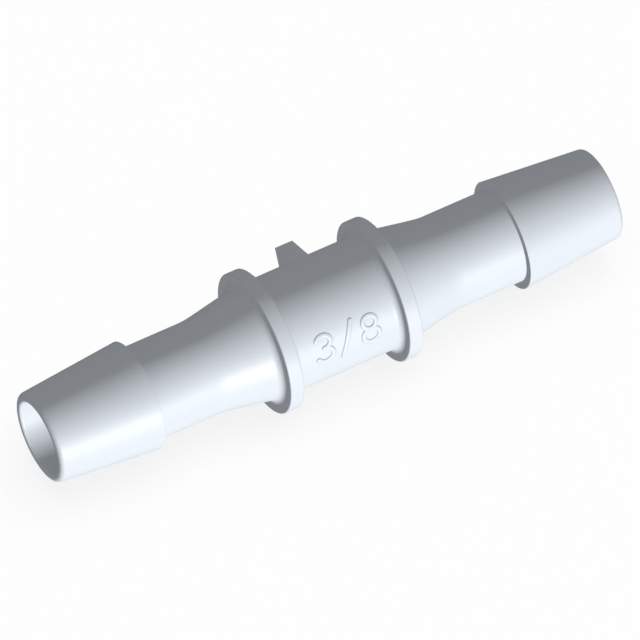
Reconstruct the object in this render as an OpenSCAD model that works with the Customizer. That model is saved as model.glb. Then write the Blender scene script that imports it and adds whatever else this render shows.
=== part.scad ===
// Straight barbed tube connector, moulded in one piece of natural polypropylene.
// X runs along the flow bore, Z is up, and the origin is on the axis at mid-length.
// The connector lies as it comes to rest: on its two collars, steadied by one corner of its key plate.

/* [Barbed ends] */
// Flow bore, right through
bore_d = 7.5; // [5:0.1:8]
// Outside of the neck that the tube grips
neck_d = 9.7; // [8.9:0.05:10.8]
// Largest diameter of a barb, at its square back edge
barb_d = 11.4; // [10.6:0.1:13]
// Diameter of the barb's cone where it meets the end face
tip_d = 9.45; // [9:0.05:10.4]
// Length of a barb, from the end face to its back edge
barb_l = 11.05; // [5:0.05:18]
// Length of the neck, from the barb's back edge to the foot of the flare
neck_l = 7.4; // [3:0.1:16]

/* [Middle] */
// Length of the flare between a neck and a collar
flare_l = 5.6; // [3:0.05:12]
// Diameter of the flare where it meets the collar
flare_d = 11.7; // [10.6:0.05:12.8]
// Collar that stops the tube
collar_d = 14.85; // [13.8:0.05:15.9]
// Thickness of a collar along the bore
collar_w = 1.5; // [0.7:0.05:4]
// Outside of the body between the collars
body_d = 11.9; // [10.8:0.1:13]
// Length of the body between the collars
body_l = 11.8; // [6:0.1:24]

/* [Key plate] */
// Side of the square key plate
plate_w = 11.4; // [10.6:0.05:14]
// Thickness of the key plate along the bore
plate_t = 1.9; // [0.8:0.05:4]

/* [Rounding] */
// Outer edge of an end face, which leads the tube on
nose_r = 0.5; // [0.1:0.01:0.6]
// Mouth of the bore
mouth_r = 0.22; // [0.05:0.01:0.3]
// Back edge of a barb
barb_edge_r = 0.07; // [0.02:0.01:0.3]
// Hollow blend between a neck and its flare
neck_blend_r = 8; // [0.5:0.5:16]
// Root of a collar on the flare's side
flare_root_r = 0.7; // [0.1:0.05:0.9]
// Root of a collar on the body's side
body_root_r = 0.6; // [0.1:0.05:0.9]
// Rim of a collar
collar_edge_r = 0.15; // [0.02:0.01:0.3]
// Long edges of the key plate's corners
plate_edge_r = 0.15; // [0.05:0.01:0.5]

/* [Hidden] */

plastic = [0.91, 0.94, 0.96];

// Facets round the bore's axis, and round the circle of a fillet
round_steps = 144;
// How far the bore's cut runs past an end face
cut_past = 1;
// Seam of the turned faces, about X from straight down: at the back, between the plate's corners
seam_angle = 70;

// Stations along X, from the middle to the end face
collar_in_x = body_l / 2;
collar_out_x = collar_in_x + collar_w;
neck_x = collar_out_x + flare_l;
barb_x = neck_x + neck_l;
end_x = barb_x + barb_l;

// Sharp corners of the right half's outline, each as [radius, place along X]
body_middle = [body_d / 2, 0];
body_end = [body_d / 2, collar_in_x];
rim_in = [collar_d / 2, collar_in_x];
rim_out = [collar_d / 2, collar_out_x];
flare_top = [flare_d / 2, collar_out_x];
neck_start = [neck_d / 2, neck_x];
neck_end = [neck_d / 2, barb_x];
barb_edge = [barb_d / 2, barb_x];
tip = [tip_d / 2, end_x];
bore_middle = [bore_d / 2, 0];
bore_end = [bore_d / 2, end_x];

// The connector lies on its collars, with the plate's lower corner this far over the floor
corner_gap = 0.03;
// Roll about X that brings the plate's rounded corner there
plate_half = plate_w / 2;
plate_corner_centre_r = (plate_half - plate_edge_r) * sqrt(2);
rest_roll = 45 - acos(min(1, (collar_d / 2 - corner_gap - plate_edge_r) / plate_corner_centre_r));

// Direction from one point to another, with a length of 1
function way(from, to) = (to - from) / norm(to - from);

// The piece between a corner and the arc that rounds it off, where from and to are the corner's neighbours.
// It is added in a hollow corner, which makes a fillet, and cut from a sharp one, which makes a rounded edge.
module corner_piece(from, corner, to, r) {
    u = way(corner, from);
    v = way(corner, to);
    half_angle = acos(u * v) / 2;
    reach = r / tan(half_angle);
    centre = way([0, 0], u + v) * r / sin(half_angle);
    translate(corner)
        difference() {
            polygon([[0, 0], u * reach, centre, v * reach]);
            translate(centre)
                circle(r, $fn = round_steps);
        }
}

// Section of the right half, out to the axis, as if there were no bore
module half_section() {
    difference() {
        union() {
            polygon([
                [0, 0], body_middle, body_end, rim_in, rim_out, flare_top,
                neck_start, neck_end, barb_edge, tip, [0, end_x]
            ]);
            corner_piece(body_middle, body_end, rim_in, body_root_r);
            corner_piece(rim_out, flare_top, neck_start, flare_root_r);
            corner_piece(flare_top, neck_start, neck_end, neck_blend_r);
        }
        corner_piece(body_end, rim_in, rim_out, collar_edge_r);
        corner_piece(rim_in, rim_out, flare_top, collar_edge_r);
        corner_piece(neck_end, barb_edge, tip, barb_edge_r);
        corner_piece(barb_edge, tip, bore_end, nose_r);
    }
}

// Section of the right half of the bore, with its rounded mouth
module half_bore_section() {
    square([bore_d / 2, end_x + cut_past]);
    corner_piece(bore_middle, bore_end, tip, mouth_r);
}

// Turns the section of a right half, and its mirror image on the left, about the X axis
module turned() {
    rotate([seam_angle, 0, 0])
        rotate([0, 90, 0])
            rotate_extrude($fn = round_steps) {
                children();
                mirror([0, 1])
                    children();
            }
}

// Everything that is round outside: two barbed ends, two collars and the body between them
module turned_form() {
    turned()
        half_section();
}

module bore() {
    turned()
        half_bore_section();
}

// The back half of a square plate: its flats lie inside the body and two corners stand out of it
module key_plate() {
    left = [-plate_half, plate_half];
    right = [plate_half, plate_half];
    rotate([-rest_roll, 0, 0])
        rotate([0, 90, 0])
            linear_extrude(plate_t, center = true)
                difference() {
                    translate([-plate_half, 0])
                        square([plate_w, plate_half]);
                    corner_piece([-plate_half, 0], left, right, plate_edge_r);
                    corner_piece(left, right, [plate_half, 0], plate_edge_r);
                }
}

module connector() {
    color(plastic)
        difference() {
            union() {
                turned_form();
                key_plate();
            }
            bore();
        }
}

connector();
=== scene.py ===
"""Looks of a straight barbed tube connector, moulded in natural polypropylene, lying on a pale floor."""

import math

import bmesh
import bpy
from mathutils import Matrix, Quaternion, Vector


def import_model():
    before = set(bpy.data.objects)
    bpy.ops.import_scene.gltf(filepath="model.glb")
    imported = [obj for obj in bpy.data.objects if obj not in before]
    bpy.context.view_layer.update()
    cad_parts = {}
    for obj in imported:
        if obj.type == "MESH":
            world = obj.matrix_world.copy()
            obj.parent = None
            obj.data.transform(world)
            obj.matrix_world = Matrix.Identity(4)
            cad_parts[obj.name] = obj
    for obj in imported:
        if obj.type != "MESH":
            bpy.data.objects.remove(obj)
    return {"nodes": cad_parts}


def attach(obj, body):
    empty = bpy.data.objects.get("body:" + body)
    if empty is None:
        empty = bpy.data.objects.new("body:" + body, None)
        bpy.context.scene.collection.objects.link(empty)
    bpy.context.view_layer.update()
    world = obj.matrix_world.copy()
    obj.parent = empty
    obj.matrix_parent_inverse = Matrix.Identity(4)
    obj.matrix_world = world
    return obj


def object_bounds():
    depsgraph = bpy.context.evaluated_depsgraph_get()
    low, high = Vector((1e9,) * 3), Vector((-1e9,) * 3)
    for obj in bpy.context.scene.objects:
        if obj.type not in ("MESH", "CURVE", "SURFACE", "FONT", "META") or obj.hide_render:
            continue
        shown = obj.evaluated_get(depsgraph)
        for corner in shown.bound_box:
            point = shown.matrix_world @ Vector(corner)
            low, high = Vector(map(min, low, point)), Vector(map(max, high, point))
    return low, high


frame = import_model()
cad_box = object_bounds()

MM = 0.001
WHITE = (1, 1, 1, 1)
GOLDEN_ANGLE = math.pi * (3 - math.sqrt(5))

# Sizes of the connector that the looks share with the CAD model
BODY_R = 5.95 * MM
BORE_R = 3.75 * MM
# Directions round the bore's axis are angles in the YZ plane: 0 is the front, -Y, and 90 is up, +Z.
# The front half of the mould opens towards this one, and the key plate is in the back half.
FRONT_ANGLE = 22.4

# The photograph is a parallel view, so the camera is far away behind a long lens. Its roll, which turns it
# about its line of sight, is positive where the picture turns clockwise.
PHOTO_PX = 640
MM_PER_PX = 0.0977
VIEW_AZIMUTH = -28.85
VIEW_ELEVATION = 51.0
VIEW_ROLL = -0.46
LENS_MM = 1600.0
SENSOR_MM = 36.0
CLIP_START = 0.1
CLIP_END = 10
# Where the middle of the connector lies in the photograph, from the middle of the picture
MIDDLE_RIGHT_PX = 0.45
MIDDLE_UP_PX = 4.76

# Plastic: the cloud mixes the two colours
PLASTIC_PALE = (0.797, 0.852, 0.912, 1)
PLASTIC_DEEP = (0.783, 0.838, 0.900, 1)
PLASTIC_ROUGH = (0.43, 0.49)
PLASTIC_IOR = 1.49
CLOUD_SIZE = 9 * MM
CLOUD_DETAIL = 3
ROUGH_DETAIL = 4
# Noise seldom leaves this span
NOISE_SPAN = (0.3, 0.7)
# Relief of the skin. The roughness varies over the same distance as the ripple.
GRAIN_SIZE = 0.35 * MM
GRAIN_RELIEF = 0.004 * MM
RIPPLE_SIZE = 6 * MM
RIPPLE_RELIEF = 0.012 * MM
RELIEF_DETAIL = 2
# Parting line of the mould, which starts a little way out from the bore
PARTING_HALF_WIDTH = 0.07 * MM
PARTING_RELIEF = 0.012 * MM
PARTING_CLEAR = 0.3 * MM

# Size mark 3/8, raised on the front of the body and drawn in units of MARK_SCALE, about 2.4 units high
MARK_SCALE = 1.2 * MM
MARK_MIDDLE = 1.25
# The 3 and the 8 stand this far from the slash, and their bowls have their middles at these heights
FIGURE_AWAY = 2.15
UPPER_BOWL = 1.88
LOWER_BOWL = 0.66
# Half width and half height of each bowl
THREE_UPPER = (0.66, 0.58)
THREE_LOWER = (0.74, 0.63)
EIGHT_UPPER = (0.60, 0.58)
EIGHT_LOWER = (0.73, 0.63)
# Where the open bowls of the 3 end, in degrees from the right
THREE_END = 155
SLASH_FOOT = (-0.6, -0.2)
SLASH_TOP = (0.6, 2.7)
# Section of a stroke, from one foot to the other, as (distance from its middle line, height over the body)
MARK_SECTION = [
    (-0.30 * MM, -0.04 * MM), (-0.22 * MM, 0.06 * MM), (-0.14 * MM, 0.09 * MM),
    (0.14 * MM, 0.09 * MM), (0.22 * MM, 0.06 * MM), (0.30 * MM, -0.04 * MM),
]
STROKE_END_STEPS = 6
BOWL_STEPS = 40
STRAIGHT_STEPS = 16
# Points of a stroke's rounded end that are closer than this become one
WELD = 0.0005 * MM

# Light. The photograph has no cast shadows on the object, so its lamps cast none.
SKY = 0.08
FILL = 0.202
KEY = 0.705
KEY_GLOSS = 0.45
UNDER_KEY = 0.158
BACK_FILL = 0.45
FLOOR_BOUNCE = 0.19
KEY_ANGLE = -2.4
UNDER_KEY_ANGLE = -20.4
LAMP_SOFTNESS = 8.0
FILL_LAMPS = 26
BACKDROP = 0.99
FLOOR_ALBEDO = 0.9
# Share of the floor's light that the object shades, which makes its faint soft shadow
FLOOR_SHADE = 0.05
FLOOR_LIGHT_SOFTNESS = 60.0
FLOOR_LIGHT_FROM = (0.1, -0.2, 1.0)
FLOOR_Z = cad_box[0].z
FLOOR_R = 4.0
FLOOR_STEPS = 96


def round_axis(degrees):
    """A direction in the YZ plane: 0 is the front and 90 is up."""
    a = math.radians(degrees)
    return Vector((0, -math.cos(a), math.sin(a)))


def camera():
    """A long-lens camera at the photograph's angle. Returns the direction from the object to it."""
    a, e = math.radians(VIEW_AZIMUTH), math.radians(VIEW_ELEVATION)
    back = Vector((math.sin(a) * math.cos(e), -math.cos(a) * math.cos(e), math.sin(e)))
    right = Vector((math.cos(a), math.sin(a), 0))
    up = back.cross(right)
    px = MM_PER_PX * MM
    aim = -right * MIDDLE_RIGHT_PX * px - up * MIDDLE_UP_PX * px
    data = bpy.data.cameras.new("camera")
    data.lens = LENS_MM
    data.sensor_width = SENSOR_MM
    data.clip_start, data.clip_end = CLIP_START, CLIP_END
    cam = bpy.data.objects.new("camera", data)
    cam.location = aim + back * PHOTO_PX * px * LENS_MM / SENSOR_MM
    cam.rotation_mode = "QUATERNION"
    level = (-back).to_track_quat("-Z", "Y")
    cam.rotation_quaternion = level @ Quaternion((0, 0, 1), math.radians(VIEW_ROLL))
    bpy.context.scene.collection.objects.link(cam)
    bpy.context.scene.camera = cam
    return back


def noise(tree, place, size, detail):
    """Noise whose features are about as large as size, in metres."""
    node = tree.nodes.new("ShaderNodeTexNoise")
    node.inputs["Scale"].default_value = 1 / size
    node.inputs["Detail"].default_value = detail
    tree.links.new(place, node.inputs["Vector"])
    return node.outputs["Fac"]


def math_node(tree, operation, a, b):
    """A Math node of two inputs, each a socket or a number."""
    node = tree.nodes.new("ShaderNodeMath")
    node.operation = operation
    for socket, value in zip(node.inputs, (a, b)):
        if isinstance(value, (int, float)):
            socket.default_value = value
        else:
            tree.links.new(value, socket)
    return node.outputs["Value"]


def spread(tree, value, low, high):
    """Noise whose usual span is brought to the range from low to high."""
    node = tree.nodes.new("ShaderNodeMapRange")
    node.inputs["From Min"].default_value = NOISE_SPAN[0]
    node.inputs["From Max"].default_value = NOISE_SPAN[1]
    node.inputs["To Min"].default_value = low
    node.inputs["To Max"].default_value = high
    tree.links.new(value, node.inputs["Value"])
    return node.outputs["Result"]


def bump(tree, height, relief, under=None):
    """A bump of the given relief, in metres, for a height from 0 to 1, over the bump under it."""
    node = tree.nodes.new("ShaderNodeBump")
    node.inputs["Distance"].default_value = relief
    tree.links.new(height, node.inputs["Height"])
    if under:
        tree.links.new(under, node.inputs["Normal"])
    return node.outputs["Normal"]


def parting_line(tree, place):
    """1 on the fine line that the two halves of the mould leave outside, and 0 beside it."""
    across = tree.nodes.new("ShaderNodeVectorMath")
    across.operation = "DOT_PRODUCT"
    across.inputs[1].default_value = round_axis(FRONT_ANGLE)
    tree.links.new(place, across.inputs[0])
    away = math_node(tree, "ABSOLUTE", across.outputs["Value"], 0)
    line = math_node(tree, "SUBTRACT", 1, math_node(tree, "DIVIDE", away, PARTING_HALF_WIDTH))
    split = tree.nodes.new("ShaderNodeSeparateXYZ")
    tree.links.new(place, split.inputs["Vector"])
    y, z = split.outputs["Y"], split.outputs["Z"]
    squares = math_node(tree, "ADD", math_node(tree, "MULTIPLY", y, y), math_node(tree, "MULTIPLY", z, z))
    from_axis = math_node(tree, "SQRT", squares, 0)
    outside = math_node(tree, "GREATER_THAN", from_axis, BORE_R + PARTING_CLEAR)
    return math_node(tree, "MULTIPLY", math_node(tree, "MAXIMUM", line, 0), outside)


def plastic():
    """Natural polypropylene: off-white with a slight blue cast, faintly cloudy, with a satin moulded skin."""
    mat = bpy.data.materials.new("natural_plastic")
    mat.use_nodes = True
    tree = mat.node_tree
    shader = tree.nodes["Principled BSDF"]
    shader.inputs["IOR"].default_value = PLASTIC_IOR
    place = tree.nodes.new("ShaderNodeTexCoord").outputs["Object"]

    cloud = noise(tree, place, CLOUD_SIZE, CLOUD_DETAIL)
    colour = tree.nodes.new("ShaderNodeMix")
    colour.data_type = "RGBA"
    colour.inputs["A"].default_value = PLASTIC_PALE
    colour.inputs["B"].default_value = PLASTIC_DEEP
    tree.links.new(spread(tree, cloud, 0, 1), colour.inputs["Factor"])
    tree.links.new(colour.outputs["Result"], shader.inputs["Base Color"])

    rough = spread(tree, noise(tree, place, RIPPLE_SIZE, ROUGH_DETAIL), *PLASTIC_ROUGH)
    tree.links.new(rough, shader.inputs["Roughness"])

    skin = bump(tree, noise(tree, place, RIPPLE_SIZE, RELIEF_DETAIL), RIPPLE_RELIEF)
    skin = bump(tree, noise(tree, place, GRAIN_SIZE, RELIEF_DETAIL), GRAIN_RELIEF, skin)
    skin = bump(tree, parting_line(tree, place), PARTING_RELIEF, skin)
    tree.links.new(skin, shader.inputs["Normal"])
    return mat


def bowl(middle, radii, start, end):
    """Points of an elliptic arc, from the start angle to the end angle."""
    turns = [math.radians(start + (end - start) * i / BOWL_STEPS) for i in range(BOWL_STEPS + 1)]
    return [Vector((middle[0] + radii[0] * math.cos(t), middle[1] + radii[1] * math.sin(t))) for t in turns]


def straight(start, end):
    """Points of a straight stroke, close enough together to follow the round body."""
    steps = [i / STRAIGHT_STEPS for i in range(STRAIGHT_STEPS + 1)]
    return [Vector(start).lerp(Vector(end), t) for t in steps]


def mark_strokes():
    """Middle lines of the mark's strokes, each with whether it is a closed ring."""
    three, eight = -FIGURE_AWAY, FIGURE_AWAY
    return [
        (bowl((three, UPPER_BOWL), THREE_UPPER, THREE_END, -90), False),
        (bowl((three, LOWER_BOWL), THREE_LOWER, 90, -THREE_END), False),
        (straight(SLASH_FOOT, SLASH_TOP), False),
        (bowl((eight, UPPER_BOWL), EIGHT_UPPER, 0, 360)[:-1], True),
        (bowl((eight, LOWER_BOWL), EIGHT_LOWER, 0, 360)[:-1], True),
    ]


def on_body(point, height):
    """A point of the mark's plane, in metres from its middle, wrapped on the front of the body."""
    angle = FRONT_ANGLE + math.degrees(point.y / BODY_R)
    place = round_axis(angle) * (BODY_R + height)
    place.x = point.x
    return place


def stroke_rings(points, closed):
    """Cross-sections of a raised stroke, as rings of points, with rounded ends where it isn't closed."""
    count = len(points)
    rings = []
    for i, point in enumerate(points):
        before = points[i - 1] if closed or i > 0 else point
        after = points[(i + 1) % count] if closed or i < count - 1 else point
        ahead = (after - before).normalized()
        side = Vector((-ahead.y, ahead.x))
        turns = [0.0]
        if not closed and i == 0:
            turns = [-90 + 90 * k / STROKE_END_STEPS for k in range(STROKE_END_STEPS + 1)]
        if not closed and i == count - 1:
            turns = [90 * k / STROKE_END_STEPS for k in range(STROKE_END_STEPS + 1)]
        for turn in turns:
            t = math.radians(turn)
            rings.append([
                on_body(point + ahead * abs(off) * math.sin(t) + side * off * math.cos(t), height)
                for off, height in MARK_SECTION
            ])
    return rings


def add_stroke(bm, points, closed):
    """Adds a raised stroke to the mesh, as a closed shell."""
    rings = [[bm.verts.new(v) for v in ring] for ring in stroke_rings(points, closed)]
    pairs = list(zip(rings, rings[1:]))
    if closed:
        pairs.append((rings[-1], rings[0]))
    sides = len(MARK_SECTION)
    for a, b in pairs:
        for j in range(sides):
            k = (j + 1) % sides
            bm.faces.new((a[j], b[j], b[k], a[k]))


def size_mark(material):
    """The tube size, in plain raised figures on the front of the body."""
    bm = bmesh.new()
    middle = Vector((0, MARK_MIDDLE))
    for points, closed in mark_strokes():
        add_stroke(bm, [(p - middle) * MARK_SCALE for p in points], closed)
    bmesh.ops.remove_doubles(bm, verts=bm.verts, dist=WELD)
    bmesh.ops.recalc_face_normals(bm, faces=bm.faces)
    mesh = bpy.data.meshes.new("size_mark")
    bm.to_mesh(mesh)
    bm.free()
    mesh.shade_smooth()
    mesh.materials.append(material)
    piece = bpy.data.objects.new("size_mark", mesh)
    bpy.context.scene.collection.objects.link(piece)
    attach(piece, "root")
    return piece


def floor():
    """A pale matt floor that the connector lies on."""
    mesh = bpy.data.meshes.new("floor")
    bm = bmesh.new()
    bmesh.ops.create_circle(bm, cap_ends=True, segments=FLOOR_STEPS, radius=FLOOR_R)
    bm.to_mesh(mesh)
    bm.free()
    obj = bpy.data.objects.new("floor", mesh)
    obj.location.z = FLOOR_Z
    mat = bpy.data.materials.new("pale_floor")
    mat.use_nodes = True
    shader = mat.node_tree.nodes["Principled BSDF"]
    shader.inputs["Base Color"].default_value = (FLOOR_ALBEDO, FLOOR_ALBEDO, FLOOR_ALBEDO, 1)
    shader.inputs["Roughness"].default_value = 1.0
    shader.inputs["Specular IOR Level"].default_value = 0.0
    mesh.materials.append(mat)
    bpy.context.scene.collection.objects.link(obj)
    obj.visible_diffuse = False
    obj.visible_glossy = False
    return obj


def sun(name, towards, strength, softness, receivers):
    """A lamp far off in the given direction that lights only its receivers, with no shadow or bounces.
    A white matt surface that faces a strength of 1 looks white."""
    data = bpy.data.lights.new(name, "SUN")
    data.energy = strength * math.pi
    data.angle = math.radians(softness)
    data.use_shadow = False
    data.cycles.max_bounces = 0
    obj = bpy.data.objects.new(name, data)
    obj.rotation_mode = "QUATERNION"
    obj.rotation_quaternion = Vector(towards).to_track_quat("Z", "Y")
    bpy.context.scene.collection.objects.link(obj)
    obj.light_linking.receiver_collection = receivers
    return obj


def world():
    """Even soft light from all round, and a pale backdrop beyond the floor."""
    sky = bpy.data.worlds.new("studio")
    sky.use_nodes = True
    nodes, links = sky.node_tree.nodes, sky.node_tree.links
    light = nodes["Background"]
    light.inputs["Strength"].default_value = SKY
    light.inputs["Color"].default_value = WHITE
    backdrop = nodes.new("ShaderNodeBackground")
    backdrop.inputs["Color"].default_value = WHITE
    backdrop.inputs["Strength"].default_value = BACKDROP
    path = nodes.new("ShaderNodeLightPath")
    mix = nodes.new("ShaderNodeMixShader")
    links.new(path.outputs["Is Camera Ray"], mix.inputs["Fac"])
    links.new(light.outputs["Background"], mix.inputs[1])
    links.new(backdrop.outputs["Background"], mix.inputs[2])
    links.new(mix.outputs["Shader"], nodes["World Output"].inputs["Surface"])
    bpy.context.scene.world = sky


def lit_group(name, members):
    """A collection for light linking: the lamps that name it light its members alone."""
    group = bpy.data.collections.new(name)
    for member in members:
        group.objects.link(member)
    return group


def object_lights(pieces, back):
    """A key from the front with a dimmer one under it, the floor's bounce, and even fill from all round."""
    lit = lit_group("lit_object", pieces)
    sun("key", round_axis(KEY_ANGLE), KEY, LAMP_SOFTNESS, lit)
    sun("key_gloss", round_axis(KEY_ANGLE), KEY_GLOSS, LAMP_SOFTNESS, lit).visible_diffuse = False
    sun("under_key", round_axis(UNDER_KEY_ANGLE), UNDER_KEY, LAMP_SOFTNESS, lit).visible_glossy = False
    sun("floor_bounce", (0, 0, -1), FLOOR_BOUNCE, LAMP_SOFTNESS, lit).visible_glossy = False
    # The camera is opposite, so this lamp shows only from behind. Its gloss would fleck the outline.
    sun("back_fill", -back, BACK_FILL, LAMP_SOFTNESS, lit).visible_glossy = False

    # Lamps spread evenly over a sphere: those in front of a surface add up to a quarter of them all
    for i in range(FILL_LAMPS):
        height = 1 - (2 * i + 1) / FILL_LAMPS
        turn = GOLDEN_ANGLE * i
        width = math.sqrt(1 - height * height)
        towards = (width * math.cos(turn), width * math.sin(turn), height)
        sun(f"fill_{i}", towards, 4 * FILL / FILL_LAMPS, LAMP_SOFTNESS, lit).visible_glossy = False


def floor_light(floor_obj):
    """Soft light from above for the floor alone, as bright as the backdrop, with the faint shadow."""
    lit = lit_group("lit_floor", [floor_obj])
    towards = Vector(FLOOR_LIGHT_FROM).normalized()
    strength = (BACKDROP / FLOOR_ALBEDO - SKY) / towards.z
    sun("floor_light", towards, strength * (1 - FLOOR_SHADE), FLOOR_LIGHT_SOFTNESS, lit)
    shaded = sun("floor_shade", towards, strength * FLOOR_SHADE, FLOOR_LIGHT_SOFTNESS, lit)
    shaded.data.use_shadow = True


def main():
    back = camera()
    node = frame["nodes"]["connector"]
    material = plastic()
    node.data.materials.clear()
    node.data.materials.append(material)
    mark = size_mark(material)
    world()
    object_lights([node, mark], back)
    floor_light(floor())
    bpy.context.scene.view_settings.view_transform = "Standard"


main()
